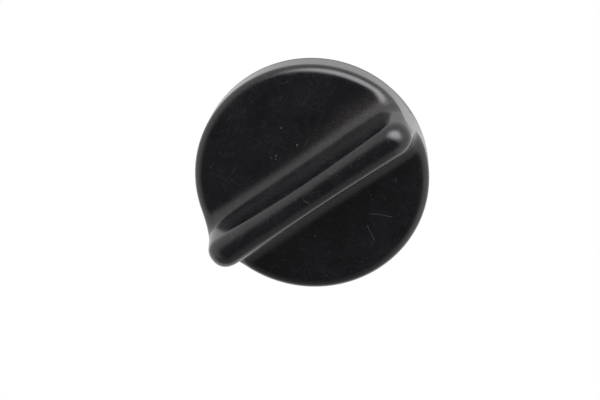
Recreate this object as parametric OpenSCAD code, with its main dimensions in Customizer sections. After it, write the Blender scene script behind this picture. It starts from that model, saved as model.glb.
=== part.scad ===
// Oil filler cap: a moulded twist cap with a full-width grip bar, a bayonet stem and a rubber seal.
// Millimetres. +Z runs up the cap's axis and X along the grip bar.
// The origin is on the axis, at the lower end of the stem, on which the cap stands.

/* [Flange] */
// Outer diameter at the lower edge of the skirt
cap_d = 64; // [56:0.5:76]
// Height from the lower edge of the skirt up to the flat face
flange_h = 9.6; // [8:0.2:14]
// Thickness of the flat top plate
plate_t = 2.5; // [1.6:0.1:3.2]
// Thickness of the skirt at its lower edge
skirt_t = 2.4; // [1.6:0.1:3.2]
// Radius that rounds the face over into the side wall
rim_r = 2.6; // [1.2:0.1:3.6]
// Draft of the side wall in degrees, wider at the lower edge
wall_draft = 0.5; // [0:0.25:2.5]

/* [Grip bar] */
// Height of the crest above the flat face
grip_h = 16.2; // [14:0.2:20]
// Width of the bar at its ends, where its sides would meet the face
grip_w = 11.9; // [11:0.1:15]
// How much narrower the bar is at its middle
grip_waist = 0.6; // [0:0.1:1.6]
// Draft of the bar's sides in degrees
grip_draft = 7.5; // [4:0.5:9]
// Radius of the hollow fillet along the bar's root
root_r = 5.8; // [4:0.2:7]
// How far below the rounded crest the side wall stops, where it runs straight up the bar's ends
end_drop = 1; // [1:0.2:6]
// Length over which each end of the bar rounds off
end_len = 7.5; // [6:0.25:9]
// How square the ends are in plan: at 2 they are elliptical
end_square = 2.3; // [2:0.1:3]
// Wall left round the hollow that cores the bar from beneath
grip_wall = 2.2; // [1.6:0.1:2.6]
// Number of cross ribs in the middle hollow
grip_ribs = 2; // [0:1:4]
// Thickness of a cross rib
rib_t = 1.4; // [1:0.1:2.4]

/* [Stem] */
// Outer diameter of the stem that enters the filler neck
stem_d = 36; // [30:0.5:40]
// Wall of the stem
stem_t = 2.6; // [1.8:0.1:3.6]
// How far the stem reaches below the skirt
stem_reach = 15; // [10:0.5:24]
// Chamfer round the foot of the stem, outside and inside
stem_chamfer = 0.6; // [0.2:0.1:1]

/* [Bayonet] */
// Number of locking lugs
lugs = 3; // [2:1:4]
// How far a lug stands out of the stem
lug_out = 2.6; // [1.5:0.1:3.5]
// Angle that a lug covers, in degrees
lug_span = 46; // [30:1:60]
// Height of a lug at its thick end
lug_h = 4.4; // [3.4:0.1:5.5]
// How much the ramp drops towards the leading end
lug_ramp = 1.6; // [0.6:0.1:2]
// Angle that the stop at the trailing end covers, in degrees
stop_span = 6; // [4:1:10]
// How far the stop rises above the lug
stop_rise = 2.4; // [1:0.1:3.5]

/* [Seal] */
// Width of the rubber sealing ring, from its inside to its outside
seal_w = 3.85; // [2.5:0.05:5]
// Thickness of the sealing ring
seal_t = 3.2; // [2:0.1:4]
// Gap between the sealing ring and the stem or the rib around it
seal_gap = 0.15; // [0.05:0.05:0.3]
// Radius that rounds the ring's lower edges
seal_edge = 0.7; // [0.2:0.1:0.9]
// Height of the rib that keeps the ring in place
keeper_h = 1.6; // [0.8:0.1:2]
// Thickness of that rib
keeper_t = 1.4; // [1:0.1:2]

/* [Hidden] */

// Overlap that lets one solid run into its neighbour
bite = 0.4;
// Fineness of the true rounds
round_fn = 96;

// Levels above the foot of the stem
skirt_z = stem_reach;
face_z = skirt_z + flange_h;
plate_z = face_z - plate_t;
seal_z = plate_z - seal_t;

// Radii of the wall, the stem and the rib round the seal
skirt_r = cap_d / 2;
rim_outer_r = skirt_r - flange_h * tan(wall_draft);
stem_r = stem_d / 2;
bore_r = stem_r - stem_t;
seal_in_r = stem_r + seal_gap;
seal_out_r = seal_in_r + seal_w;
keeper_in_r = seal_out_r + seal_gap;
keeper_out_r = keeper_in_r + keeper_t;

// Steps along the bar's side, round a bar's end, and over crest, root fillet and rim
side_steps = 30;
end_steps = 24;
crest_steps = 5;
root_steps = 6;
rim_steps = 5;
// Depth at which the rounded crest is cut to a narrow flat land
crest_land = 0.02;
// Width of flat face over which the grid lets the fillet end in full
face_blend = 1;
// Least stretch above the rim that the grid's root points cover
root_least = 1.5;

// Radius of the crest that closes a bar of half width w with drafted sides
function crest_r(w) = (w * cos(grip_draft) - grip_h * sin(grip_draft)) / (1 - sin(grip_draft));

// Height above the face at which the drafted side runs into that crest
function side_top(w) = grip_h - crest_r(w) * (1 - sin(grip_draft));

// Distance from the bar's centre line to the foot of its root fillet
function root_d(w) = w + root_r * (1 / cos(grip_draft) - tan(grip_draft));

// Distance from the centre line at which the rim still meets the fillet, and no longer the side
function fillet_reach(w) = root_d(w) + rim_r - (root_r + rim_r) * cos(grip_draft);

// Height above the face at which the side runs into the full root fillet
root_top = root_r * (1 - sin(grip_draft));

// The bar's plan: its ends round off beyond end_x, so close to the rim that the wall runs
// straight up them
end_w = grip_w / 2;
end_cut = max(0, side_top(end_len) - end_drop - root_top) * tan(grip_draft);
end_x = rim_outer_r - fillet_reach(end_len) + end_cut;

// Half the width of the bar at x, measured where its side would meet the face
function half_w(x) = end_w - grip_waist / 2 * pow(1 - pow(x / end_x, 2), 2);

// Distance from an end's centre to its outline in the direction a: an ellipse, a little squared
function end_reach(a) =
    pow(pow(abs(sin(a)) / end_w, end_square) + pow(abs(cos(a)) / end_len, end_square), -1 / end_square);

// Distance along a ray from the bar's centre line to the bar's outline
function ray_w(ray) = abs(ray[0]) < end_x ? half_w(ray[0]) : end_reach(ray[1]);

// Rays in plan, anticlockwise: each has its start on the bar's centre line and its direction
plan_rays = concat(
    [for (i = [0 : end_steps - 1]) [end_x, -90 + 180 * i / end_steps]],
    [for (i = [0 : side_steps - 1]) [end_x * (1 - 2 * i / side_steps), 90]],
    [for (i = [0 : end_steps - 1]) [-end_x, 90 + 180 * i / end_steps]],
    [for (i = [0 : side_steps - 1]) [-end_x * (1 - 2 * i / side_steps), 270]]
);

// Distance from a ray's start to the side wall
function wall_d(x, a) = -x * cos(a) + sqrt(pow(rim_outer_r, 2) - pow(x * sin(a), 2));

// A point of the root, at a distance measured back from the rim: first on the fillet, whose arc
// ends at the angle foot, then up the drafted side from the height side_z
function root_point(back, foot, w, side_z) =
    let (arc = root_r * (foot - grip_draft) * PI / 180, up = back - arc, a = foot - back / root_r * 180 / PI)
    up > 0
        ? [w - side_z * tan(grip_draft) - up * sin(grip_draft), side_z + up * cos(grip_draft)]
        : [root_d(w) - root_r * cos(a), root_r - root_r * sin(a)];

// Section of the moulding along a ray, as [distance from the centre line, height above the face].
// It runs over the crest, down the drafted side, through the root fillet, over the rim and down.
function section(w, d) =
    let (
        r = crest_r(w),
        start = acos(1 - crest_land / r),
        turn_r = root_r + rim_r,
        gap = root_d(w) - min(d - rim_r, root_d(w)),
        foot = max(grip_draft, acos(min(1, gap / turn_r))),
        lift = max(0, fillet_reach(w) - d) / tan(grip_draft),
        rim_z = root_r - turn_r * sin(foot) + lift,
        span = max(root_r * (foot - grip_draft) * PI / 180, root_least),
        face_share = min(max((d - rim_r - root_d(w)) / face_blend, 0), 1),
        last = (1 - face_share) * span / (root_steps + 1)
    )
    concat(
        [for (i = [0 : crest_steps])
            let (a = start + (90 - grip_draft - start) * i / crest_steps)
            [r * sin(a), grip_h - r + r * cos(a)]],
        [for (i = [0 : root_steps])
            root_point(span - (span - last) * i / root_steps, foot, w, root_top + lift)],
        [for (i = [0 : rim_steps])
            let (a = foot * (1 - i / rim_steps))
            [d - rim_r + rim_r * cos(a), rim_z + rim_r * sin(a)]],
        [[d, -flange_h]]
    );

// A section's point in space: below the face the wall widens with its draft
function skin_point(ray, p) =
    let (
        x = ray[0] + p[0] * cos(ray[1]),
        y = p[0] * sin(ray[1]),
        grow = 1 + max(-p[1], 0) * tan(wall_draft) / rim_outer_r
    )
    [x * grow, y * grow, face_z + p[1]];

// The moulding's outside as one solid: face, rim, side wall and the bar with its root fillets
module outer_form() {
    rings = crest_steps + root_steps + rim_steps + 4;
    rays = len(plan_rays);
    rows = [for (ray = plan_rays) section(ray_w(ray), wall_d(ray[0], ray[1]))];
    points = [for (j = [0 : rings - 1], k = [0 : rays - 1]) skin_point(plan_rays[k], rows[k][j])];
    skin = [
        for (j = [0 : rings - 2], k = [0 : rays - 1])
        let (a = j * rays + k, b = j * rays + (k + 1) % rays)
        each [[a, b, b + rays], [a, b + rays, a + rays]]
    ];
    land = [for (k = [rays - 1 : -1 : 0]) k];
    base = [for (k = [0 : rays - 1]) (rings - 1) * rays + k];
    polyhedron(points, concat(skin, [land, base]));
}

// Half of the bar's hollow in section, from the axis outwards: the outside set in by the wall.
// Its foot flares at 45 degrees, so that the wall stays even under the root fillet.
module core_half() {
    core_w = end_w - grip_waist / 2 - grip_wall / cos(grip_draft);
    core_h = grip_h - grip_wall;
    core_r = (core_w * cos(grip_draft) - core_h * sin(grip_draft)) / (1 - sin(grip_draft));
    core_top = core_h - core_r * (1 - sin(grip_draft));
    thick_root = root_d(end_w) + root_r + plate_t - core_w - sqrt(2) * (root_r + grip_wall);
    flare = max(bite, thick_root);
    flare_w = core_w - (flare - plate_t) * tan(grip_draft);
    translate([0, face_z]) {
        intersection() {
            translate([0, core_h - core_r]) circle(r = core_r, $fn = round_fn);
            square([core_r, core_h]);
        }
        polygon([
            [0, -plate_t - bite],
            [flare_w + flare + bite, -plate_t - bite],
            [flare_w, flare - plate_t],
            [core_w - core_top * tan(grip_draft), core_top],
            [0, core_top]
        ]);
    }
}

// The hollow of the whole bar, with round ends
module grip_core() {
    core_x = end_x + end_len - end_w;
    for (side = [0, 180]) rotate([0, 0, side]) {
        translate([core_x, 0, 0]) rotate_extrude($fn = round_fn) core_half();
        rotate([90, 0, 90]) linear_extrude(height = core_x) core_half();
        mirror([0, 1, 0]) rotate([90, 0, 90]) linear_extrude(height = core_x) core_half();
    }
}

// The open space under the plate, inside the skirt
module skirt_cavity() {
    inner_r = skirt_r - skirt_t;
    top_r = inner_r - (flange_h - plate_t) * tan(wall_draft);
    translate([0, 0, skirt_z]) rotate_extrude($fn = round_fn) polygon([
        [0, -bite],
        [inner_r + bite * tan(wall_draft), -bite],
        [top_r, flange_h - plate_t],
        [0, flange_h - plate_t]
    ]);
}

// The stem as a tube with chamfered edges at its foot
module stem() {
    rotate_extrude($fn = round_fn) polygon([
        [bore_r + stem_chamfer, 0],
        [stem_r - stem_chamfer, 0],
        [stem_r, stem_chamfer],
        [stem_r, plate_z + bite],
        [bore_r, plate_z + bite],
        [bore_r, stem_chamfer]
    ]);
}

// The rib that keeps the sealing ring centred
module keeper() {
    translate([0, 0, plate_z - keeper_h]) difference() {
        cylinder(r = keeper_out_r, h = keeper_h + bite, $fn = round_fn);
        translate([0, 0, -bite]) cylinder(r = keeper_in_r, h = keeper_h + 3 * bite, $fn = round_fn);
    }
}

// A block that follows the stem's outside, from the foot up to the height h
module stem_block(span, h) {
    outer = stem_r + lug_out;
    rotate_extrude(angle = span, $fn = round_fn) polygon([
        [stem_r - bite, stem_chamfer],
        [outer - stem_chamfer, stem_chamfer],
        [outer, 2 * stem_chamfer],
        [outer, h],
        [stem_r - bite, h]
    ]);
}

// A locking lug: a ramp that draws the cap down, and the stop that ends the turn
module lug() {
    ramp_span = lug_span - stop_span;
    run = 2 * stem_r * sin(ramp_span / 2);
    difference() {
        stem_block(ramp_span + bite, lug_h);
        rotate([0, 0, ramp_span]) translate([stem_r, 0, lug_h]) rotate([atan(lug_ramp / run), 0, 0])
            translate([-stem_r / 2, -2 * run, 0]) cube([stem_r, 2 * run, lug_h]);
    }
    rotate([0, 0, ramp_span]) stem_block(stop_span, lug_h + stop_rise);
}

// The hollow over the stem's bore, with cross ribs that stiffen the bar
module middle_pocket() {
    pitch = 2 * bore_r / (grip_ribs + 1);
    difference() {
        intersection() {
            grip_core();
            translate([0, 0, plate_z - bite])
                cylinder(r = bore_r - bite, h = grip_h + plate_t, $fn = round_fn);
        }
        for (i = [1 : 1 : grip_ribs])
            translate([i * pitch - bore_r - rib_t / 2, -bore_r, plate_z - 2 * bite])
                cube([rib_t, 2 * bore_r, grip_h + plate_t]);
    }
}

// The two hollows between the rib round the seal and the bar's ends
module end_pockets() {
    difference() {
        intersection() {
            grip_core();
            translate([0, 0, plate_z - bite])
                cylinder(r = rim_outer_r - grip_wall, h = grip_h + plate_t, $fn = round_fn);
        }
        translate([0, 0, plate_z - 2 * bite])
            cylinder(r = keeper_out_r + bite, h = grip_h + 2 * plate_t, $fn = round_fn);
    }
}

module cap_body() {
    color([0.09, 0.09, 0.1]) difference() {
        union() {
            difference() {
                outer_form();
                skirt_cavity();
            }
            stem();
            keeper();
            for (i = [0 : lugs - 1]) rotate([0, 0, 360 * i / lugs]) lug();
        }
        middle_pocket();
        end_pockets();
    }
}

module sealing_ring() {
    color([0.05, 0.05, 0.05]) translate([0, 0, seal_z]) rotate_extrude($fn = round_fn) {
        translate([seal_in_r, seal_edge]) square([seal_out_r - seal_in_r, seal_t - seal_edge]);
        translate([seal_in_r + seal_edge, 0]) square([seal_out_r - seal_in_r - 2 * seal_edge, seal_edge + bite]);
        for (r = [seal_in_r + seal_edge, seal_out_r - seal_edge])
            translate([r, seal_edge]) circle(r = seal_edge, $fn = round_fn);
    }
}

cap_body();
sealing_ring();
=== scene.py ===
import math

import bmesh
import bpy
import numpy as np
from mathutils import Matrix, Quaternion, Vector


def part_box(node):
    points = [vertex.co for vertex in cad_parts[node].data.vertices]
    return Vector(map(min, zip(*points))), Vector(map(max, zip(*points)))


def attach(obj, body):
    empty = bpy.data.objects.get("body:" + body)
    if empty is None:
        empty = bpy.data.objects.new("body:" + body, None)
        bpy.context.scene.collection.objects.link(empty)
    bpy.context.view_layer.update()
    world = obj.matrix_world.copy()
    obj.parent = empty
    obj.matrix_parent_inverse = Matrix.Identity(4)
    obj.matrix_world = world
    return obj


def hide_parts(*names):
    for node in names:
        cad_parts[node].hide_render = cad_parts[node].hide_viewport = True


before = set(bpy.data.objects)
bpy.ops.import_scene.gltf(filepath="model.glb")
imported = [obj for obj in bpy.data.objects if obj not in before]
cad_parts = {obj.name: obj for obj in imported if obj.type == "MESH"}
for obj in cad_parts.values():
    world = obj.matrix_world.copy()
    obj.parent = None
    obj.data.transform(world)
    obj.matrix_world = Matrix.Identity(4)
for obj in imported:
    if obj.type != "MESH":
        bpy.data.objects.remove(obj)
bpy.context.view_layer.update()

# %% [markdown]
# # A black oil filler cap
#
# This cap closes the oil filler neck of an engine. It is one injection moulding of black nylon: a round
# flange, a grip bar across its whole width and, underneath, a hollow stem with three bayonet lugs. A
# rubber ring lies round the stem and seals against the neck.
#
# The imported CAD model is already in the scene. It gives the sizes and places, and its solids are hidden
# once they are replaced. This notebook builds a finer skin over them, with the same form, and adds the
# finish.

MM = 0.001
body_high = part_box("cap_body")[1]
seal_low, seal_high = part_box("sealing_ring")

# %% [markdown]
# ## Sizes
#
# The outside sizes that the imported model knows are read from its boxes. The others are the driving
# sizes of the moulding, in millimetres, as a drawing would give them.

# %% Sizes of the moulding in millimetres
cap_r = body_high.x / MM
crest_z = body_high.z / MM
plate_z = seal_high.z / MM
seal_z = seal_low.z / MM
seal_out_r = seal_high.x / MM

plate_t = 2.5
skirt_t = 2.4
flange_h = 9.6
rim_r = 2.6
# The rim's highlight shows a rounding that is a little wider than it is deep
rim_w, rim_h = 3.0, rim_r
wall_draft = math.radians(0.5)

grip_w = 11.9
grip_waist = 0.6
grip_draft = math.radians(7.5)
root_r = 5.8
end_drop = 1.0
end_len = 7.5
end_square = 2.3
grip_wall = 2.2

stem_r = 18.0
bore_r = 15.4
seal_gap = 0.15
keeper_h = 1.6
keeper_t = 1.4

# How far up the wall the underside's rows begin, how far a cutter reaches past what it cuts, the side
# of a block that is larger than the cap is tall, and a step too small to see
LIP = 0.35
BITE = 0.4
TALL = 60.0
SLIVER = 0.01

face_z = plate_z + plate_t
skirt_z = face_z - flange_h
grip_h = crest_z - face_z
rim_outer_r = cap_r - flange_h * math.tan(wall_draft)
keeper_in_r = seal_out_r + seal_gap
keeper_out_r = keeper_in_r + keeper_t
print(f"grip bar {grip_h:.1f} mm over the face, face {face_z:.1f} mm over the foot")

# %% [markdown]
# ## The section of the moulding
#
# Stand on the bar's centre line and walk outwards: the skin drops over a rounded crest, runs down a
# side with draft, sweeps through a hollow fillet onto the face, crosses it and turns over the rim.
# Near the bar's ends there is no room for the face, so the fillet or the side runs straight into the
# rim. One formula covers all of it, and each ray from the centre line gets its own section.
#
# The arithmetic runs on whole arrays, one number for each ray. The same sum in Geometry Nodes would be
# about a hundred Math nodes, which is harder to read than these lines.

# %% Rays in plan, and how far each one runs
STEPS = {"side": 96, "end": 72, "crest": 22, "flank": 5, "root": 24, "face": 8, "rim": 20, "wall": 5,
         "core side": 24, "core end": 24, "core top": 12}


def crest_radius(half, height):
    """Radius of the crest that closes a bar of that half width and height, with drafted sides."""
    slope = math.sin(grip_draft)
    return (half * math.cos(grip_draft) - height * slope) / (1 - slope)


def root_distance(half):
    """From the bar's centre line to the foot of its root fillet."""
    return half + root_r * (1 / math.cos(grip_draft) - math.tan(grip_draft))


def stadium(reach, side_steps, end_steps):
    """Rays round a bar, anticlockwise: the start of each on the centre line, and its angle."""
    turn = np.pi * np.arange(end_steps) / end_steps
    along = reach * (1 - 2 * np.arange(side_steps) / side_steps)
    starts = np.concatenate([np.full(end_steps, reach), along, np.full(end_steps, -reach), -along])
    quarter = np.pi / 2
    angles = np.concatenate([
        turn - quarter, np.full(side_steps, quarter), turn + quarter, np.full(side_steps, 3 * quarter)])
    return starts, angles


# The ends are centred so far out that their side meets the wall about end_drop under the crest's arc
end_half = grip_w / 2
root_top = root_r * (1 - math.sin(grip_draft))
side_top = grip_h - crest_radius(end_len, grip_h) * (1 - math.sin(grip_draft))
fillet_reach = root_distance(end_len) + rim_r - (root_r + rim_r) * math.cos(grip_draft)
end_cut = max(0.0, side_top - end_drop - root_top) * math.tan(grip_draft)
end_x = rim_outer_r - fillet_reach + end_cut
ray_x, ray_a = stadium(end_x, STEPS["side"], STEPS["end"])

# Half the bar's width along each ray: waisted between the ends, and squared round them
waisted = end_half - grip_waist / 2 * (1 - (ray_x / end_x) ** 2) ** 2
squared = (np.abs(np.sin(ray_a) / end_half) ** end_square
           + np.abs(np.cos(ray_a) / end_len) ** end_square) ** (-1 / end_square)
ray_half = np.where(np.abs(ray_x) < end_x, waisted, squared)


def ray_length(radius):
    """How far each ray runs until it meets the circle of that radius round the cap's axis."""
    return -ray_x * np.cos(ray_a) + np.sqrt(radius ** 2 - (ray_x * np.sin(ray_a)) ** 2)


ray_run = ray_length(rim_outer_r)
print(f"{len(ray_x)} rays, bar ends centred at {end_x:.2f} mm")

# %% [markdown]
# ## The outside
#
# The rows of points below follow the section from the crest down to the skirt's lower edge. At any
# distance from the centre line, `point` gives the height of the side, the hollow root or the face, less
# what the rim rounds off. A toolmaker cuts the rim's rounding into the mould with one cutter, so it is
# measured square to the wall and stays even all round, also where the root runs into it.

# %% Rows of points down the outside


def outside_rows():
    """Rows of (distance from the centre line, height above the face), one number for each ray."""
    rise = math.tan(grip_draft)
    crest = crest_radius(ray_half, grip_h)
    root_d = root_distance(ray_half)
    side_foot = root_d - root_r * math.cos(grip_draft)

    def point(distance):
        """Distance and height of the skin there: side, root or face, less what the rim rounds off."""
        in_root = np.clip(root_d - distance, 0, root_d - side_foot)
        height = np.where(distance < side_foot, (ray_half - distance) / rise,
                          root_r - np.sqrt(root_r ** 2 - in_root ** 2))
        from_axis = np.sqrt(ray_x ** 2 + distance ** 2 + 2 * ray_x * distance * np.cos(ray_a))
        near = np.clip(1 - (rim_outer_r - from_axis) / rim_w, 0, 1)
        drop = rim_h * (1 - np.sqrt(1 - near ** 2)) * np.clip(1 - height / root_top, 0, 1)
        return distance, height - drop

    def between(first, last, steps):
        """Rows on the straight line from one row to another, without its two ends."""
        shares = np.linspace(0, 1, steps + 1)[1:-1]
        return [tuple(a + (b - a) * s for a, b in zip(first, last)) for s in shares]

    turn = math.pi / 2 - grip_draft
    rows = [(crest * math.sin(turn * s), grip_h - crest + crest * math.cos(turn * s))
            for s in np.linspace(0, 1, STEPS["crest"] + 1)]
    # Towards the bar's ends the root starts and stops early, so that every row stays inside the next
    rim_start = ray_length(rim_outer_r - rim_w)
    root_start = np.maximum(np.minimum(side_foot, ray_run - rise), rows[-1][0] + SLIVER)
    root_end = np.maximum(np.minimum(root_d, rim_start), root_start + (ray_run - root_start) / 3)
    bends = np.linspace(grip_draft, math.pi / 2, STEPS["root"] + 1)
    root = [point(root_end - (root_end - root_start) * math.cos(b) / math.cos(grip_draft)) for b in bends]
    rows += between(rows[-1], root[0], STEPS["flank"]) + root
    rim_start = np.maximum(rim_start, root_end)
    rim = [point(rim_start + (ray_run - rim_start) * math.sin(s))
           for s in np.linspace(0, math.pi / 2, STEPS["rim"] + 1)]
    rows += between(rows[-1], rim[0], STEPS["face"]) + rim
    wall_foot = (ray_run, -flange_h + LIP)
    rows += between(rows[-1], wall_foot, STEPS["wall"]) + [wall_foot]
    return rows


def skin_points(rows):
    """The rows in space, in millimetres. Below the face the wall widens with its draft."""
    points = []
    for distance, height in rows:
        grow = 1 + np.maximum(-height, 0) * math.tan(wall_draft) / rim_outer_r
        points.append(np.stack([
            (ray_x + distance * np.cos(ray_a)) * grow,
            distance * np.sin(ray_a) * grow,
            face_z + height + 0 * distance], axis=-1))
    return points


outside = skin_points(outside_rows())
print(len(outside), "rows on the outside")

# %% [markdown]
# ## The underside
#
# The underside is round: the inside of the skirt, the plate, the low rib that keeps the seal centred
# and the hollow stem. It is drawn as one line of corners, from the skirt's edge to the axis, and each
# corner gets the small radius that a mould has. The line is turned round the axis on the same rays as
# the outside, so the two halves share their last row and the moulding is closed.

# %% The turned line of the underside
# The length of the short span at each end of a rounding, which keeps the flat beside it flat when the
# mesh is shaded smooth
GUARD = 0.12


def unit(vector):
    return vector / np.linalg.norm(vector)


def rounded(corners, steps=5, longest=1.6):
    """Corners of (radius, height, rounding) as a fine line: an arc for each, and no span over longest."""
    line = [np.array(corners[0][:2])]
    for before, here, after in zip(corners, corners[1:], corners[2:]):
        corner = np.array(here[:2])
        back, on = unit(np.array(before[:2]) - corner), unit(np.array(after[:2]) - corner)
        half = math.acos(np.clip(back @ on, -1, 1)) / 2
        reach = here[2] / math.tan(half)
        centre = corner + unit(back + on) * here[2] / math.sin(half)
        first, last = corner + back * reach - centre, corner + on * reach - centre
        swing = math.pi - 2 * half
        line.append(centre + first + back * GUARD)
        for s in np.linspace(0, 1, steps + 1):
            arc = first * math.sin((1 - s) * swing) + last * math.sin(s * swing)
            line.append(centre + arc / math.sin(swing))
        line.append(centre + last + on * GUARD)
    line.append(np.array(corners[-1][:2]))
    fine = [line[0]]
    for a, b in zip(line, line[1:]):
        pieces = max(1, math.ceil(np.linalg.norm(b - a) / longest))
        fine += [a + (b - a) * (i + 1) / pieces for i in range(pieces)]
    return fine


skirt_in = cap_r - skirt_t
skirt_top = skirt_in - (flange_h - plate_t) * math.tan(wall_draft)
underside_line = rounded([
    (cap_r, skirt_z + LIP, 0),
    (cap_r, skirt_z, LIP - GUARD - SLIVER),
    (skirt_in, skirt_z, 0.3),
    (skirt_top, plate_z, 0.8),
    (keeper_out_r, plate_z, 0.35),
    (keeper_out_r, plate_z - keeper_h, 0.3),
    (keeper_in_r, plate_z - keeper_h, 0.3),
    (keeper_in_r, plate_z, 0.12),
    (stem_r, plate_z, 0.12),
    (stem_r, 0, 0.6),
    (bore_r, 0, 0.6),
    (bore_r, plate_z, 0.5),
    (0, plate_z, 0),
])
wall_plan = outside[-1][:, :2]
ray_out = wall_plan / np.linalg.norm(wall_plan, axis=1)[:, None]
underside = [np.concatenate([ray_out * r, np.full((len(ray_out), 1), z)], axis=1)
             for r, z in underside_line[1:]]
print(len(underside), "rows on the underside")

# %% [markdown]
# ## From rows to a closed mesh
#
# Neighbouring rows are joined by four-sided faces. The first row lies twice on the crest's line and
# the last row is a single point on the axis, so merging the doubles closes both ends.

# %% Make a mesh from rows
# Points closer than this, in millimetres, are the same point
SAME_POINT = 0.002


def mesh_from_rows(name, rows):
    """A closed mesh through rows of points in millimetres, each row a closed ring."""
    points = np.array(rows) * MM
    rings, count = points.shape[:2]
    ring, ray = np.meshgrid(np.arange(rings - 1), np.arange(count), indexing="ij")
    here, beside = ring * count + ray, ring * count + (ray + 1) % count
    faces = np.stack([here, here + count, beside + count, beside], axis=-1).reshape(-1, 4)
    mesh = bpy.data.meshes.new(name)
    mesh.from_pydata(points.reshape(-1, 3).tolist(), [], faces.tolist())
    shape = bmesh.new()
    shape.from_mesh(mesh)
    bmesh.ops.remove_doubles(shape, verts=shape.verts, dist=SAME_POINT * MM)
    open_edges = sum(not edge.is_manifold for edge in shape.edges)
    volume = shape.calc_volume() / MM ** 3
    print(f"{name}: {len(shape.faces)} faces, {open_edges} open edges, {volume:.0f} mm3")
    shape.to_mesh(mesh)
    shape.free()
    return mesh


def place(name, mesh):
    """An object for the mesh, at the origin."""
    piece = bpy.data.objects.new(name, mesh)
    bpy.context.scene.collection.objects.link(piece)
    return piece


cap = place("moulded_cap", mesh_from_rows("moulded_cap", outside + underside))

# %% [markdown]
# ## The hollow of the bar
#
# A thick bar of plastic would shrink and dent as it cools, so the mould has a core that hollows the bar
# from beneath and leaves an even wall. The core follows the bar: a round top, drafted sides and a foot
# that flares at 45 degrees under the root fillet. It is made from rows too, and cut out further down.

# %% The core's shape


def core_rows():
    """Rows of (distance, height above the face) of the core, from its top line to its foot."""
    half = end_half - grip_waist / 2 - grip_wall / math.cos(grip_draft)
    height = grip_h - grip_wall
    top_r = crest_radius(half, height)
    # The foot flares so high up that the wall under the root fillet is about as thick as the bar's
    thick_root = root_distance(end_half) + root_r + plate_t - half - math.sqrt(2) * (root_r + grip_wall)
    flare = max(BITE, thick_root)
    flare_half = half - (flare - plate_t) * math.tan(grip_draft)
    turn = math.pi / 2 - grip_draft
    rows = [(top_r * math.sin(turn * s), height - top_r + top_r * math.cos(turn * s))
            for s in np.linspace(0, 1, STEPS["core top"] + 1)]
    foot = -plate_t - BITE
    rows += [(flare_half, flare - plate_t), (flare_half + flare + BITE, foot), (0.0, foot)]
    return rows


core_x, core_a = stadium(end_x + end_len - end_half, STEPS["core side"], STEPS["core end"])
core_mesh = mesh_from_rows("bar_core", [
    np.stack([core_x + d * np.cos(core_a), d * np.sin(core_a), np.full(len(core_x), face_z + z)], axis=-1)
    for d, z in core_rows()])
bar_core = place("bar_core", core_mesh)

# %% [markdown]
# ## Nodes for what repeats
#
# The lugs, the ribs in the bar and the round marks of the ejector pins all repeat, so Geometry Nodes
# make them. One small function adds a node, sets it up and links it. Every tree gets named inputs.

# %% Helpers for node trees


def add(tree, kind, settings=None, inputs=None):
    """Adds a node. Inputs are sockets to link, lists of sockets, or plain values."""
    node = tree.nodes.new(kind)
    for name, value in (settings or {}).items():
        setattr(node, name, value)
    for key, value in (inputs or {}).items():
        for item in value if isinstance(value, list) else [value]:
            if isinstance(item, bpy.types.NodeSocket):
                tree.links.new(item, node.inputs[key])
            else:
                node.inputs[key].default_value = item
    return node


def start_tree(name, sizes):
    """A Geometry Nodes tree with its in and out sockets. Returns it and its input node."""
    tree = bpy.data.node_groups.new(name, "GeometryNodeTree")
    tree.interface.new_socket("Geometry", in_out="OUTPUT", socket_type="NodeSocketGeometry")
    tree.interface.new_socket("Geometry", in_out="INPUT", socket_type="NodeSocketGeometry")
    for label, value in sizes.items():
        kind = {int: "NodeSocketInt", float: "NodeSocketFloat"}.get(type(value), "NodeSocketObject")
        tree.interface.new_socket(label, in_out="INPUT", socket_type=kind)
    return tree, add(tree, "NodeGroupInput")


def run_tree(piece, tree, sizes):
    """Puts the tree on the piece, gives it its sizes and turns the result into a plain mesh."""
    modifier = piece.modifiers.new(tree.name, "NODES")
    modifier.node_group = tree
    for item in tree.interface.items_tree:
        if item.in_out == "INPUT" and item.name in sizes:
            modifier[item.identifier] = sizes[item.name]
    piece.update_tag()
    ready = piece.evaluated_get(bpy.context.evaluated_depsgraph_get())
    mesh = bpy.data.meshes.new_from_object(ready)
    piece.modifiers.clear()
    piece.data = mesh
    print(f"{piece.name}: {len(mesh.vertices)} points after {tree.name}")


# %% [markdown]
# ## Nylon
#
# The cap is black nylon with glass fibre, PA66, moulded in a polished steel mould. The skin is glossy,
# with a faint orange-peel ripple, and its index of refraction is 1.53. Soot-black pigment leaves almost
# nothing for the body colour, so nearly all that the eye sees is what the skin mirrors.
#
# Use marks it: fine hairlines that run all ways, single deeper scratches, specks of grit, and brown
# dust that wiping leaves in the hollow along the bar's root. Each is a mask on object coordinates, and
# the masks together make the skin paler, duller and slightly dented.

# %% Colours


def colour(code):
    """An sRGB hex colour as linear RGBA."""
    parts = [int(code[i:i + 2], 16) / 255 for i in (1, 3, 5)]
    return tuple(p / 12.92 if p <= 0.04045 else ((p + 0.055) / 1.055) ** 2.4 for p in parts) + (1.0,)


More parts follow.
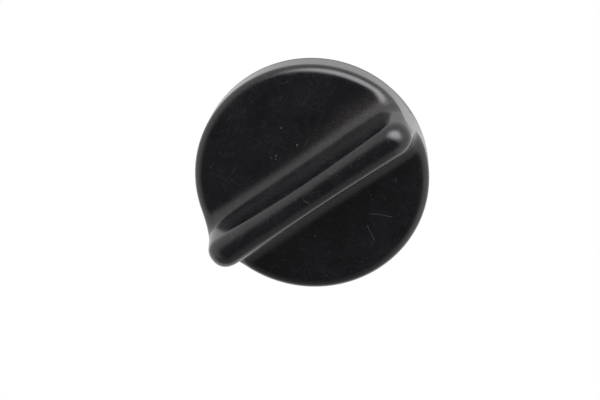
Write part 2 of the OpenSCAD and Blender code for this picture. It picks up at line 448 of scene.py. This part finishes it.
# %% Single marks, measured in the photograph
# Scratches as (start, end) and grit and stains as (place, radius), in millimetres on the moulding
SCRATCHES = [
    ((7.9, -16.6, face_z), (9.7, -17.9, face_z)), ((9.7, -17.9, face_z), (12.3, -20.7, face_z)),
    ((5.4, -18.8, face_z), (4.5, -23.5, face_z)), ((19.4, -12.3, face_z), (18.8, -13.0, face_z)),
    ((-0.2, 1.1, crest_z), (1.0, -1.7, crest_z)),
]
GRIT = [
    ((3.2, 10.5, face_z), 0.36), ((-3.3, 11.3, face_z), 0.3), ((-3.9, 10.6, face_z), 0.2),
    ((-4.6, 11.5, face_z), 0.18), ((2.5, 16.8, face_z), 0.26), ((12.2, -8.7, face_z), 0.22),
    ((11.3, -12.3, face_z), 0.22), ((-8.2, -13.4, face_z), 0.26),
]
STAINS = [((31.9, -0.6, face_z - 6.0), 0.6), ((31.9, -1.9, face_z - 3.8), 0.45)]

# Sets of hairlines, as (turn from +X in degrees, lean from upright in degrees, shift in millimetres)
HAIRLINES = [(20, 40, 0), (75, -25, 31), (118, 50, 67), (160, -35, 113)]
print(len(SCRATCHES), "scratches,", len(GRIT), "specks,", len(STAINS), "stains and",
      len(HAIRLINES), "sets of hairlines")

# %% Masks for the wear


def largest(tree, masks):
    """The largest of several masks."""
    whole = masks[0]
    for mask in masks[1:]:
        whole = add(tree, "ShaderNodeMath", {"operation": "MAXIMUM"}, {0: whole, 1: mask}).outputs[0]
    return whole


def scratch_mask(tree, spot, start, end):
    """1 on the line from start to end and 0 beside it. A scratch 0.05 mm wide would be too fine to
    show, so it is drawn 0.3 mm wide and fainter."""
    begin, run = Vector(start) * MM, (Vector(end) - Vector(start)) * MM
    offset = add(tree, "ShaderNodeVectorMath", {"operation": "SUBTRACT"}, {
        0: spot, 1: begin}).outputs[0]
    along = add(tree, "ShaderNodeVectorMath", {"operation": "DOT_PRODUCT"}, {
        0: offset, 1: run}).outputs["Value"]
    share = add(tree, "ShaderNodeMath", {"operation": "DIVIDE", "use_clamp": True}, {
        0: along, 1: run.length_squared}).outputs[0]
    nearest = add(tree, "ShaderNodeVectorMath", {"operation": "SCALE"}, {
        0: run, "Scale": share}).outputs[0]
    gap = add(tree, "ShaderNodeVectorMath", {"operation": "DISTANCE"}, {
        0: offset, 1: nearest}).outputs["Value"]
    return add(tree, "ShaderNodeMapRange", None, {
        "Value": gap, "From Max": 0.15 * MM, "To Min": 1.0, "To Max": 0.0}).outputs["Result"]


def spot_mask(tree, spot, place, radius):
    """A spot that is full in its middle, where the mask is over 1, and falls to 0 at the radius."""
    gap = add(tree, "ShaderNodeVectorMath", {"operation": "DISTANCE"}, {
        0: spot, 1: Vector(place) * MM}).outputs["Value"]
    return add(tree, "ShaderNodeMapRange", None, {
        "Value": gap, "From Max": radius * MM, "To Min": 1.5, "To Max": 0.0}).outputs["Result"]


def hairline_mask(tree, spot, turn, lean, shift):
    """Hairlines that run one way: the crests of a noise that is drawn out along them. Real ones are
    0.02 mm wide, too fine to show, so these are some 0.1 mm wide and faint."""
    drawn_out = add(tree, "ShaderNodeMapping", {"vector_type": "TEXTURE"}, {
        "Vector": spot, "Location": (shift * MM, 0.0, 0.0),
        "Rotation": (math.radians(lean), 0.0, math.radians(turn)),
        "Scale": (4 * MM, 0.2 * MM, 4 * MM)}).outputs[0]
    noise = add(tree, "ShaderNodeTexNoise", None, {
        "Vector": drawn_out, "Scale": 1.0, "Detail": 1.0}).outputs["Fac"]
    return add(tree, "ShaderNodeMapRange", None, {
        "Value": noise, "From Min": 0.62, "From Max": 0.8}).outputs["Result"]


def dust_mask(tree, spot):
    """Dust in the hollow on the bar's +Y side, thicker towards its +X end, in fine clumps."""
    xyz = add(tree, "ShaderNodeSeparateXYZ", None, {0: spot}).outputs
    along = add(tree, "ShaderNodeMapRange", {"interpolation_type": "SMOOTHSTEP"}, {
        "Value": xyz["X"], "From Min": -10 * MM, "From Max": 30 * MM}).outputs["Result"]
    off_root = add(tree, "ShaderNodeMath", {"operation": "SUBTRACT"}, {
        0: xyz["Y"], 1: 8 * MM}).outputs[0]
    off_root = add(tree, "ShaderNodeMath", {"operation": "ABSOLUTE"}, {0: off_root}).outputs[0]
    across = add(tree, "ShaderNodeMapRange", {"interpolation_type": "SMOOTHSTEP"}, {
        "Value": off_root, "From Max": 6 * MM, "To Min": 1.0, "To Max": 0.0}).outputs["Result"]
    low = add(tree, "ShaderNodeMapRange", {"interpolation_type": "SMOOTHSTEP"}, {
        "Value": xyz["Z"], "From Min": (face_z + 6) * MM, "From Max": (face_z + 14) * MM,
        "To Min": 1.0, "To Max": 0.0}).outputs["Result"]
    clumps = add(tree, "ShaderNodeTexNoise", None, {
        "Vector": spot, "Scale": 1 / (0.4 * MM), "Detail": 3.0, "Roughness": 0.7}).outputs["Fac"]
    amount = add(tree, "ShaderNodeMapRange", None, {
        "Value": clumps, "From Min": 0.42, "From Max": 0.66, "To Min": 0.25}).outputs["Result"]
    for factor in (along, across, low):
        amount = add(tree, "ShaderNodeMath", {"operation": "MULTIPLY"}, {0: amount, 1: factor}).outputs[0]
    return amount


def fleck_mask(tree, spot):
    """Grit strewn over the skin: a round fleck in some cells of a Voronoi pattern, each of its own
    strength. Real grit is some 0.05 mm across, too fine to show, so it is drawn 0.3 mm across."""
    cells = add(tree, "ShaderNodeTexVoronoi", None, {"Vector": spot, "Scale": 1 / (1.9 * MM)}).outputs
    round_fleck = add(tree, "ShaderNodeMapRange", None, {
        "Value": cells["Distance"], "From Min": 0.04, "From Max": 0.11,
        "To Min": 1.0, "To Max": 0.0}).outputs["Result"]
    chosen = add(tree, "ShaderNodeMapRange", None, {
        "Value": cells["Color"], "From Min": 0.5, "From Max": 1.1}).outputs["Result"]
    return add(tree, "ShaderNodeMath", {"operation": "MULTIPLY"}, {0: round_fleck, 1: chosen}).outputs[0]


# %% The black nylon


def black_nylon():
    """Moulded PA66: black and glossy, with ripple, scratches, grit and dust."""
    material = bpy.data.materials.new("moulded_black_nylon")
    material.use_nodes = True
    tree = material.node_tree
    shader = tree.nodes["Principled BSDF"]
    shader.inputs["IOR"].default_value = 1.53
    spot = add(tree, "ShaderNodeTexCoord").outputs["Object"]

    hairlines = largest(tree, [hairline_mask(tree, spot, *line) for line in HAIRLINES])
    scratches = largest(tree, [scratch_mask(tree, spot, start, end) for start, end in SCRATCHES])
    grit = largest(tree, [fleck_mask(tree, spot)] + [spot_mask(tree, spot, *mark) for mark in GRIT])
    stains = largest(tree, [spot_mask(tree, spot, *mark) for mark in STAINS])
    dust = dust_mask(tree, spot)

    # Black pigment, cloudy from handling, then the paler marks over it: plastic whitened by a scratch,
    # grit, dust, dried oil
    haze = add(tree, "ShaderNodeTexNoise", None, {
        "Vector": spot, "Scale": 1 / (9 * MM), "Detail": 4.0, "Roughness": 0.6}).outputs["Fac"]
    cloud = add(tree, "ShaderNodeMapRange", None, {
        "Value": haze, "From Min": 0.35, "From Max": 0.65}).outputs["Result"]
    shade = add(tree, "ShaderNodeMix", {"data_type": "RGBA"}, {
        "Factor": cloud, "A": colour("#0f0f11"), "B": colour("#17171a")}).outputs["Result"]
    marks = [(hairlines, 0.3, "#3c3c40"), (scratches, 0.5, "#5c5c60"), (dust, 0.22, "#665f59"),
             (grit, 0.45, "#777472"), (stains, 1.0, "#2a201a")]
    for mask, share, code in marks:
        amount = add(tree, "ShaderNodeMath", {"operation": "MULTIPLY", "use_clamp": True}, {
            0: mask, 1: share}).outputs[0]
        shade = add(tree, "ShaderNodeMix", {"data_type": "RGBA"}, {
            "Factor": amount, "A": shade, "B": colour(code)}).outputs["Result"]
    tree.links.new(shade, shader.inputs["Base Color"])

    # A polished mould leaves gloss, handling dulls it in the same cloudy patches, marks are duller
    # still, and the stains mirror almost nothing
    roughness = add(tree, "ShaderNodeMapRange", None, {
        "Value": cloud, "To Min": 0.15, "To Max": 0.21}).outputs["Result"]
    faint = add(tree, "ShaderNodeMath", {"operation": "MULTIPLY"}, {0: hairlines, 1: 0.35}).outputs[0]
    thin = add(tree, "ShaderNodeMath", {"operation": "MULTIPLY"}, {0: dust, 1: 0.4}).outputs[0]
    worn = largest(tree, [faint, thin, scratches, grit, stains])
    roughness = add(tree, "ShaderNodeMapRange", None, {
        "Value": worn, "To Min": roughness, "To Max": 0.45}).outputs["Result"]
    tree.links.new(roughness, shader.inputs["Roughness"])
    gloss = add(tree, "ShaderNodeMapRange", None, {
        "Value": stains, "To Min": 0.5, "To Max": 0.1}).outputs["Result"]
    tree.links.new(gloss, shader.inputs["Specular IOR Level"])

    # Orange peel from the mould, and grooves where something cut in
    ripple = add(tree, "ShaderNodeTexNoise", None, {
        "Vector": spot, "Scale": 1 / (2.2 * MM), "Detail": 2.0}).outputs["Fac"]
    bump = add(tree, "ShaderNodeBump", None, {"Height": ripple, "Distance": 0.004 * MM}).outputs["Normal"]
    grooves = largest(tree, [hairlines, scratches])
    bump = add(tree, "ShaderNodeBump", {"invert": True}, {
        "Height": grooves, "Distance": 0.004 * MM, "Normal": bump}).outputs["Normal"]
    tree.links.new(bump, shader.inputs["Normal"])
    return material


nylon = black_nylon()
print(nylon.name, "has", len(nylon.node_tree.nodes), "nodes")

# %% [markdown]
# ## Lugs, bar hollow and pin marks
#
# Three lugs lock the cap: each is a ramp that pulls the seal onto the neck, with a stop at its end. The
# hollow over the stem keeps two ribs that stiffen the bar. Six round marks show where ejector pins
# pushed the moulding out. The nodes join the lugs to the stem and cut the hollow and the marks, so the
# moulding stays one closed skin. The sizes go in by name, so the tree can be used by hand too.

# %% Sizes for the underside's tree
lug_out, lug_span, stop_span = 2.6, math.radians(46), math.radians(6)
# A lug's block begins inside the stem's wall, and its stop overlaps its ramp, so that they join
lug_depth, lug_middle_r = 1.16 * lug_out, stem_r + 0.42 * lug_out
ribs = 2
rib_pitch = 2 * bore_r / (ribs + 1)
overlap = math.radians(1)
underside_sizes = {
    "Bar core": bar_core,
    "Lugs": 3, "Lug pitch": math.tau / 3, "Lug middle radius": lug_middle_r * MM,
    "Lug depth": lug_depth * MM, "Lug edge radius": 0.35 * MM,
    "Ramp span": lug_span - stop_span, "Ramp height": 4.4 * MM, "Ramp drop": 1.6 * MM,
    "Stop begin": lug_span - stop_span - overlap, "Stop span": stop_span + overlap,
    "Stop height": 6.8 * MM,
    "Bore radius": (bore_r - BITE) * MM, "Wall radius": (rim_outer_r - grip_wall) * MM,
    "Seal rib radius": (keeper_out_r + BITE) * MM, "Face height": face_z * MM,
    "Ribs": ribs, "First rib": (rib_pitch - bore_r) * MM, "Rib pitch": rib_pitch * MM,
    "Rib thickness": 1.4 * MM,
    "Pins": 6, "Pin circle": (keeper_out_r + skirt_top) / 2 * MM, "Pin radius": 1.9 * MM,
    "Pin height": 0.3 * MM, "Pin turn": math.radians(30), "Plate height": plate_z * MM,
}
print(len(underside_sizes), "sizes go into the underside's tree")

# %% Lugs, hollow and pins


def lug_nodes(tree, sizes):
    """The ring of lugs: a ramp and a stop swept round the stem, the ramp's top lowered along its turn."""
    blocks = []
    for begin, span, height in ((0.0, sizes["Ramp span"], sizes["Ramp height"]),
                                (sizes["Stop begin"], sizes["Stop span"], sizes["Stop height"])):
        path = add(tree, "GeometryNodeCurveArc", {"mode": "RADIUS"}, {
            "Resolution": 40, "Radius": sizes["Lug middle radius"], "Start Angle": begin,
            "Sweep Angle": span}).outputs["Curve"]
        outline = add(tree, "GeometryNodeCurvePrimitiveQuadrilateral", {"mode": "RECTANGLE"}, {
            "Width": sizes["Lug depth"], "Height": height}).outputs["Curve"]
        outline = add(tree, "GeometryNodeFilletCurve", {"mode": "POLY"}, {
            "Curve": outline, "Radius": sizes["Lug edge radius"], "Count": 4}).outputs["Curve"]
        block = add(tree, "GeometryNodeCurveToMesh", None, {
            "Curve": path, "Profile Curve": outline, "Fill Caps": True}).outputs["Mesh"]
        half = add(tree, "ShaderNodeMath", {"operation": "MULTIPLY"}, {0: height, 1: 0.5}).outputs[0]
        lift = add(tree, "ShaderNodeCombineXYZ", None, {"Z": half}).outputs[0]
        blocks.append(add(tree, "GeometryNodeTransform", None, {
            "Geometry": block, "Translation": lift}).outputs["Geometry"])

    position = add(tree, "GeometryNodeInputPosition").outputs[0]
    xyz = add(tree, "ShaderNodeSeparateXYZ", None, {0: position}).outputs
    turn = add(tree, "ShaderNodeMath", {"operation": "ARCTAN2"}, {
        0: xyz["Y"], 1: xyz["X"]}).outputs[0]
    left = add(tree, "ShaderNodeMapRange", None, {
        "Value": turn, "From Max": sizes["Ramp span"], "To Min": 1.0, "To Max": 0.0}).outputs["Result"]
    top = add(tree, "ShaderNodeMapRange", None, {
        "Value": xyz["Z"], "From Max": sizes["Ramp height"],
        "To Max": sizes["Ramp drop"]}).outputs["Result"]
    drop = add(tree, "ShaderNodeMath", {"operation": "MULTIPLY"}, {0: left, 1: top}).outputs[0]
    down = add(tree, "ShaderNodeCombineXYZ", None, {"Z": drop}).outputs[0]
    lowered = add(tree, "ShaderNodeVectorMath", {"operation": "SCALE"}, {
        0: down, "Scale": -1.0}).outputs[0]
    blocks[0] = add(tree, "GeometryNodeSetPosition", None, {
        "Geometry": blocks[0], "Offset": lowered}).outputs["Geometry"]
    lug = add(tree, "GeometryNodeMeshBoolean", {"operation": "UNION", "solver": "MANIFOLD"}, {
        "Mesh 2": blocks}).outputs["Mesh"]
    points = add(tree, "GeometryNodePoints", None, {"Count": sizes["Lugs"]}).outputs[0]
    index = add(tree, "GeometryNodeInputIndex").outputs[0]
    angle = add(tree, "ShaderNodeMath", {"operation": "MULTIPLY"}, {
        0: index, 1: sizes["Lug pitch"]}).outputs[0]
    turned = add(tree, "ShaderNodeCombineXYZ", None, {"Z": angle}).outputs[0]
    ring = add(tree, "GeometryNodeInstanceOnPoints", None, {
        "Points": points, "Instance": lug, "Rotation": turned}).outputs["Instances"]
    return add(tree, "GeometryNodeRealizeInstances", None, {"Geometry": ring}).outputs["Geometry"]


def hollow_nodes(tree, sizes):
    """The bar's hollow: over the stem's bore between ribs, and beyond the seal at both ends."""
    def drum(radius):
        """A round block from below the plate to above the crest."""
        solid = add(tree, "GeometryNodeMeshCylinder", None, {
            "Vertices": 128, "Radius": radius, "Depth": TALL * MM}).outputs["Mesh"]
        lift = add(tree, "ShaderNodeCombineXYZ", None, {"Z": sizes["Face height"]}).outputs[0]
        return add(tree, "GeometryNodeTransform", None, {
            "Geometry": solid, "Translation": lift}).outputs["Geometry"]

    core = add(tree, "GeometryNodeObjectInfo", None, {"Object": sizes["Bar core"]}).outputs["Geometry"]
    middle = add(tree, "GeometryNodeMeshBoolean", {"operation": "INTERSECT", "solver": "MANIFOLD"}, {
        "Mesh 2": [core, drum(sizes["Bore radius"])]}).outputs["Mesh"]
    first = add(tree, "ShaderNodeCombineXYZ", None, {
        "X": sizes["First rib"], "Z": sizes["Face height"]}).outputs[0]
    step = add(tree, "ShaderNodeCombineXYZ", None, {"X": sizes["Rib pitch"]}).outputs[0]
    spots = add(tree, "GeometryNodeMeshLine", {"mode": "OFFSET"}, {
        "Count": sizes["Ribs"], "Start Location": first, "Offset": step}).outputs["Mesh"]
    rib_size = add(tree, "ShaderNodeCombineXYZ", None, {
        "X": sizes["Rib thickness"], "Y": TALL * MM, "Z": TALL * MM}).outputs[0]
    rib = add(tree, "GeometryNodeMeshCube", None, {"Size": rib_size}).outputs["Mesh"]
    placed = add(tree, "GeometryNodeInstanceOnPoints", None, {
        "Points": spots, "Instance": rib}).outputs["Instances"]
    placed = add(tree, "GeometryNodeRealizeInstances", None, {"Geometry": placed}).outputs["Geometry"]
    middle = add(tree, "GeometryNodeMeshBoolean", {"operation": "DIFFERENCE", "solver": "MANIFOLD"}, {
        "Mesh 1": middle, "Mesh 2": placed}).outputs["Mesh"]
    ends = add(tree, "GeometryNodeMeshBoolean", {"operation": "INTERSECT", "solver": "MANIFOLD"}, {
        "Mesh 2": [core, drum(sizes["Wall radius"])]}).outputs["Mesh"]
    ends = add(tree, "GeometryNodeMeshBoolean", {"operation": "DIFFERENCE", "solver": "MANIFOLD"}, {
        "Mesh 1": ends, "Mesh 2": drum(sizes["Seal rib radius"])}).outputs["Mesh"]
    return [middle, ends]


def pin_nodes(tree, sizes):
    """Shallow round marks on the plate, on a circle midway between the seal's rib and the skirt."""
    circle = add(tree, "GeometryNodeMeshCircle", None, {
        "Vertices": sizes["Pins"], "Radius": sizes["Pin circle"]}).outputs["Mesh"]
    pin = add(tree, "GeometryNodeMeshCylinder", None, {
        "Vertices": 48, "Radius": sizes["Pin radius"], "Depth": sizes["Pin height"]}).outputs["Mesh"]
    lift = add(tree, "ShaderNodeCombineXYZ", None, {"Z": sizes["Plate height"]}).outputs[0]
    turn = add(tree, "ShaderNodeCombineXYZ", None, {"Z": sizes["Pin turn"]}).outputs[0]
    circle = add(tree, "GeometryNodeTransform", None, {
        "Geometry": circle, "Translation": lift, "Rotation": turn}).outputs["Geometry"]
    pins = add(tree, "GeometryNodeInstanceOnPoints", None, {
        "Points": circle, "Instance": pin}).outputs["Instances"]
    return add(tree, "GeometryNodeRealizeInstances", None, {"Geometry": pins}).outputs["Geometry"]


underside_tree, group_in = start_tree("underside_details", underside_sizes)
given = group_in.outputs
joined = add(underside_tree, "GeometryNodeMeshBoolean", {"operation": "UNION", "solver": "MANIFOLD"}, {
    "Mesh 2": [given["Geometry"], lug_nodes(underside_tree, given)]}).outputs["Mesh"]
cut = add(underside_tree, "GeometryNodeMeshBoolean", {"operation": "DIFFERENCE", "solver": "MANIFOLD"}, {
    "Mesh 1": joined,
    "Mesh 2": hollow_nodes(underside_tree, given) + [pin_nodes(underside_tree, given)]}).outputs["Mesh"]
whole = add(underside_tree, "GeometryNodeRealizeInstances", None, {"Geometry": cut}).outputs["Geometry"]
finished = add(underside_tree, "GeometryNodeSetMaterial", None, {
    "Geometry": whole, "Material": nylon}).outputs["Geometry"]
add(underside_tree, "NodeGroupOutput", None, {"Geometry": finished})
run_tree(cap, underside_tree, underside_sizes)
bpy.data.objects.remove(bar_core)

# %% [markdown]
# Smooth shading hides the facets, and every edge that turns by more than 28 degrees stays crisp, as a
# mould's parting edge is.

# %% Shade the moulding and let it stand for the CAD node
cap.data.shade_smooth()
crisp_from = math.radians(28)
cap.data.set_sharp_from_angle(angle=crisp_from)
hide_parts("cap_body")
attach(cap, "root")
print(cap.name, "has", len(cap.data.polygons), "faces")

# %% [markdown]
# ## The sealing ring
#
# The seal is a flat ring of nitrile rubber, pressed in a heated mould, with rounded edges that slide
# over the neck. Nodes sweep a small rounded rectangle round a circle. Nitrile is dull, almost without
# gloss: its skin is grainy, and a grey bloom of wax rises out of it in patches.

# %% The rubber


def nitrile_rubber():
    """Moulded NBR: soot black and matt, with a fine grain."""
    material = bpy.data.materials.new("moulded_nitrile_rubber")
    material.use_nodes = True
    tree = material.node_tree
    shader = tree.nodes["Principled BSDF"]
    shader.inputs["IOR"].default_value = 1.52
    place_on = add(tree, "ShaderNodeTexCoord").outputs["Object"]
    bloom = add(tree, "ShaderNodeTexNoise", None, {
        "Vector": place_on, "Scale": 1 / (5 * MM), "Detail": 5.0}).outputs["Fac"]
    grain = add(tree, "ShaderNodeTexNoise", None, {
        "Vector": place_on, "Scale": 1 / (0.25 * MM), "Detail": 3.0}).outputs["Fac"]
    shade = add(tree, "ShaderNodeMix", {"data_type": "RGBA"}, {
        "Factor": bloom, "A": colour("#1c1c1d"), "B": colour("#2c2c2c")}).outputs["Result"]
    tree.links.new(shade, shader.inputs["Base Color"])
    dull = add(tree, "ShaderNodeMapRange", None, {
        "Value": bloom, "To Min": 0.55, "To Max": 0.8}).outputs["Result"]
    tree.links.new(dull, shader.inputs["Roughness"])
    bump = add(tree, "ShaderNodeBump", None, {"Height": grain, "Distance": 0.02 * MM, "Strength": 1.0})
    tree.links.new(bump.outputs["Normal"], shader.inputs["Normal"])
    return material


rubber = nitrile_rubber()
print(rubber.name, "has", len(rubber.node_tree.nodes), "nodes")

# %% The ring
seal_in_r = stem_r + seal_gap
seal_sizes = {
    "Middle radius": (seal_in_r + seal_out_r) / 2 * MM, "Width": (seal_out_r - seal_in_r) * MM,
    "Thickness": (plate_z - seal_z) * MM, "Middle height": (plate_z + seal_z) / 2 * MM,
    "Edge radius": 0.7 * MM,
}
seal_tree, group_in = start_tree("sealing_ring_sweep", seal_sizes)
given = group_in.outputs
path = add(seal_tree, "GeometryNodeCurvePrimitiveCircle", {"mode": "RADIUS"}, {
    "Resolution": 192, "Radius": given["Middle radius"]}).outputs["Curve"]
outline = add(seal_tree, "GeometryNodeCurvePrimitiveQuadrilateral", {"mode": "RECTANGLE"}, {
    "Width": given["Width"], "Height": given["Thickness"]}).outputs["Curve"]
outline = add(seal_tree, "GeometryNodeFilletCurve", {"mode": "POLY"}, {
    "Curve": outline, "Radius": given["Edge radius"], "Count": 8}).outputs["Curve"]
ring = add(seal_tree, "GeometryNodeCurveToMesh", None, {
    "Curve": path, "Profile Curve": outline}).outputs["Mesh"]
lift = add(seal_tree, "ShaderNodeCombineXYZ", None, {"Z": given["Middle height"]}).outputs[0]
ring = add(seal_tree, "GeometryNodeTransform", None, {
    "Geometry": ring, "Translation": lift}).outputs["Geometry"]
ring = add(seal_tree, "GeometryNodeRealizeInstances", None, {"Geometry": ring}).outputs["Geometry"]
ring = add(seal_tree, "GeometryNodeSetMaterial", None, {
    "Geometry": ring, "Material": rubber}).outputs["Geometry"]
add(seal_tree, "NodeGroupOutput", None, {"Geometry": ring})

seal = place("rubber_seal", bpy.data.meshes.new("rubber_seal"))
run_tree(seal, seal_tree, seal_sizes)
seal.data.shade_smooth()
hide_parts("sealing_ring")
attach(seal, "root")

# %% [markdown]
# ## Floor and light
#
# Black gloss shows its surroundings more than itself, so the light was worked out backwards from the
# highlights in the photograph. The cap lies on white card in a white tent. One large softbox stands
# beyond the side of the rim that is uppermost in the picture, and draws the white stripe on it. The
# tent is dark overhead, where the camera looks in, and dim on one side. So the flat face stays almost
# black, while the root, the crest and the wall, which mirror the horizon, catch the white.
#
# The tent looks pure white to the camera alone, and lights the cap as said above. The card looks pure
# white to the camera and in mirror images, and is plain white paper for all other light.

# %% Floor
# It lies a hair under the stem's foot, so that the two faces never share a plane
floor_mesh = bpy.data.meshes.new("floor")
reach, floor_z = 1.5, -0.02 * MM
floor_mesh.from_pydata([(x, y, floor_z) for x, y in (
    (-reach, -reach), (reach, -reach), (reach, reach), (-reach, reach))], [], [(0, 1, 2, 3)])
floor = place("floor", floor_mesh)
paper = bpy.data.materials.new("white_card")
paper.use_nodes = True
tree = paper.node_tree
shader = tree.nodes["Principled BSDF"]
shader.inputs["Base Color"].default_value = colour("#fafafa")
shader.inputs["Roughness"].default_value = 0.9
rays = add(tree, "ShaderNodeLightPath").outputs
seen = add(tree, "ShaderNodeMath", {"operation": "MAXIMUM"}, {
    0: rays["Is Camera Ray"], 1: rays["Is Glossy Ray"]}).outputs[0]
seen = add(tree, "ShaderNodeMath", {"operation": "MAXIMUM"}, {
    0: seen, 1: rays["Is Transmission Ray"]}).outputs[0]
glow = add(tree, "ShaderNodeEmission", None, {"Color": (1, 1, 1, 1), "Strength": 1.0}).outputs[0]
mixed = add(tree, "ShaderNodeMixShader", None, {0: seen, 1: shader.outputs[0], 2: glow}).outputs[0]
tree.links.new(mixed, tree.nodes["Material Output"].inputs["Surface"])
floor_mesh.materials.append(paper)
print("floor", 2 * reach, "m wide")

# %% World
# The way from the cap to the tent's dim side, as a turn from +X
DIM_TURN = math.radians(225)
world = bpy.data.worlds.new("white_tent")
bpy.context.scene.world = world
world.use_nodes = True
tree = world.node_tree
backdrop = tree.nodes["Background"]
direction = add(tree, "ShaderNodeTexCoord").outputs["Generated"]
height = add(tree, "ShaderNodeSeparateXYZ", None, {0: direction}).outputs["Z"]
dim_way = (math.cos(DIM_TURN), math.sin(DIM_TURN), 0.0)
facing = add(tree, "ShaderNodeVectorMath", {"operation": "DOT_PRODUCT"}, {
    0: direction, 1: dim_way}).outputs["Value"]
side = add(tree, "ShaderNodeMapRange", {"interpolation_type": "SMOOTHSTEP"}, {
    "Value": facing, "From Min": 0.55, "From Max": 0.88, "To Min": 1.0, "To Max": 0.38}).outputs["Result"]
tent = add(tree, "ShaderNodeMapRange", {"interpolation_type": "SMOOTHSTEP"}, {
    "Value": height, "From Min": 0.3, "From Max": 0.88, "To Min": side, "To Max": 0.09}).outputs["Result"]
rays = add(tree, "ShaderNodeLightPath").outputs
strength = add(tree, "ShaderNodeMath", {"operation": "MAXIMUM"}, {
    0: tent, 1: rays["Is Camera Ray"]}).outputs[0]
tree.links.new(strength, backdrop.inputs["Strength"])
backdrop.inputs["Color"].default_value = (1, 1, 1, 1)
print(world.name, "has", len(tree.nodes), "nodes")

# %% [markdown]
# ## Camera
#
# The camera looks down on the cap from 21 degrees off its axis, 300 mm away, and is turned so that the
# bar runs up to the right. Its lens is about 67 mm on a 36 mm sensor.

# %% Camera
camera_back = Vector((0.2665, 0.2327, 0.9353)).normalized()
camera_roll = math.radians(-166.57)
camera_distance = 300 * MM
looks_at = Vector((-4.86, -2.06, face_z + 1.90)) * MM
camera_data = bpy.data.cameras.new("camera")
camera_data.lens = 66.66
camera_data.sensor_width = 36.0
camera_data.clip_start = 0.01
camera = bpy.data.objects.new("camera", camera_data)
bpy.context.scene.collection.objects.link(camera)
camera.rotation_mode = "QUATERNION"
camera.rotation_quaternion = camera_back.to_track_quat("Z", "Y") @ Quaternion((0, 0, 1), camera_roll)
camera.location = looks_at + camera_back * camera_distance
bpy.context.scene.camera = camera
bpy.context.view_layer.update()
print("camera at", [round(v / MM, 1) for v in camera.location], "mm")

# %% Softbox
lamp_turn, lamp_rise, lamp_far = math.radians(30), math.radians(32), 0.5
lamp_wide, lamp_high, lamp_radiance = 1.1, 0.56, 4.4
level = math.cos(lamp_rise)
toward = Vector((math.cos(lamp_turn) * level, math.sin(lamp_turn) * level, math.sin(lamp_rise)))
lamp_data = bpy.data.lights.new("softbox", "AREA")
lamp_data.shape = "RECTANGLE"
lamp_data.size, lamp_data.size_y = lamp_wide, lamp_high
lamp_data.energy = lamp_radiance * math.pi * lamp_wide * lamp_high
lamp_data.color = colour("#fdfbff")[:3]
lamp = bpy.data.objects.new("softbox", lamp_data)
bpy.context.scene.collection.objects.link(lamp)
lamp.rotation_mode = "QUATERNION"
lamp.rotation_quaternion = toward.to_track_quat("Z", "Y")
lamp.location = Vector((0, 0, face_z * MM)) + toward * lamp_far
print("softbox at", [round(v, 3) for v in lamp.location], "m")

# %% The softbox's fade
# Its cloth is brightest over the bulb and fades towards the frame, so highlights get soft ends
lamp_data.use_nodes = True
tree = lamp_data.node_tree
place_on = add(tree, "ShaderNodeNewGeometry").outputs["Position"]
cloth = add(tree, "ShaderNodeMapping", {"vector_type": "TEXTURE"}, {
    "Vector": place_on, "Location": lamp.location, "Rotation": lamp.rotation_quaternion.to_euler(),
    "Scale": (lamp_wide / 2, lamp_high / 2, 1.0)}).outputs[0]
from_bulb = add(tree, "ShaderNodeVectorMath", {"operation": "LENGTH"}, {0: cloth}).outputs["Value"]
fade = add(tree, "ShaderNodeMapRange", {"interpolation_type": "SMOOTHSTEP"}, {
    "Value": from_bulb, "From Min": 0.2, "To Min": 1.4, "To Max": 0.15}).outputs["Result"]
tree.links.new(fade, tree.nodes["Emission"].inputs["Strength"])
print(lamp_data.name, "fades over", len(tree.nodes), "nodes")

bpy.context.scene.view_settings.view_transform = "Standard"
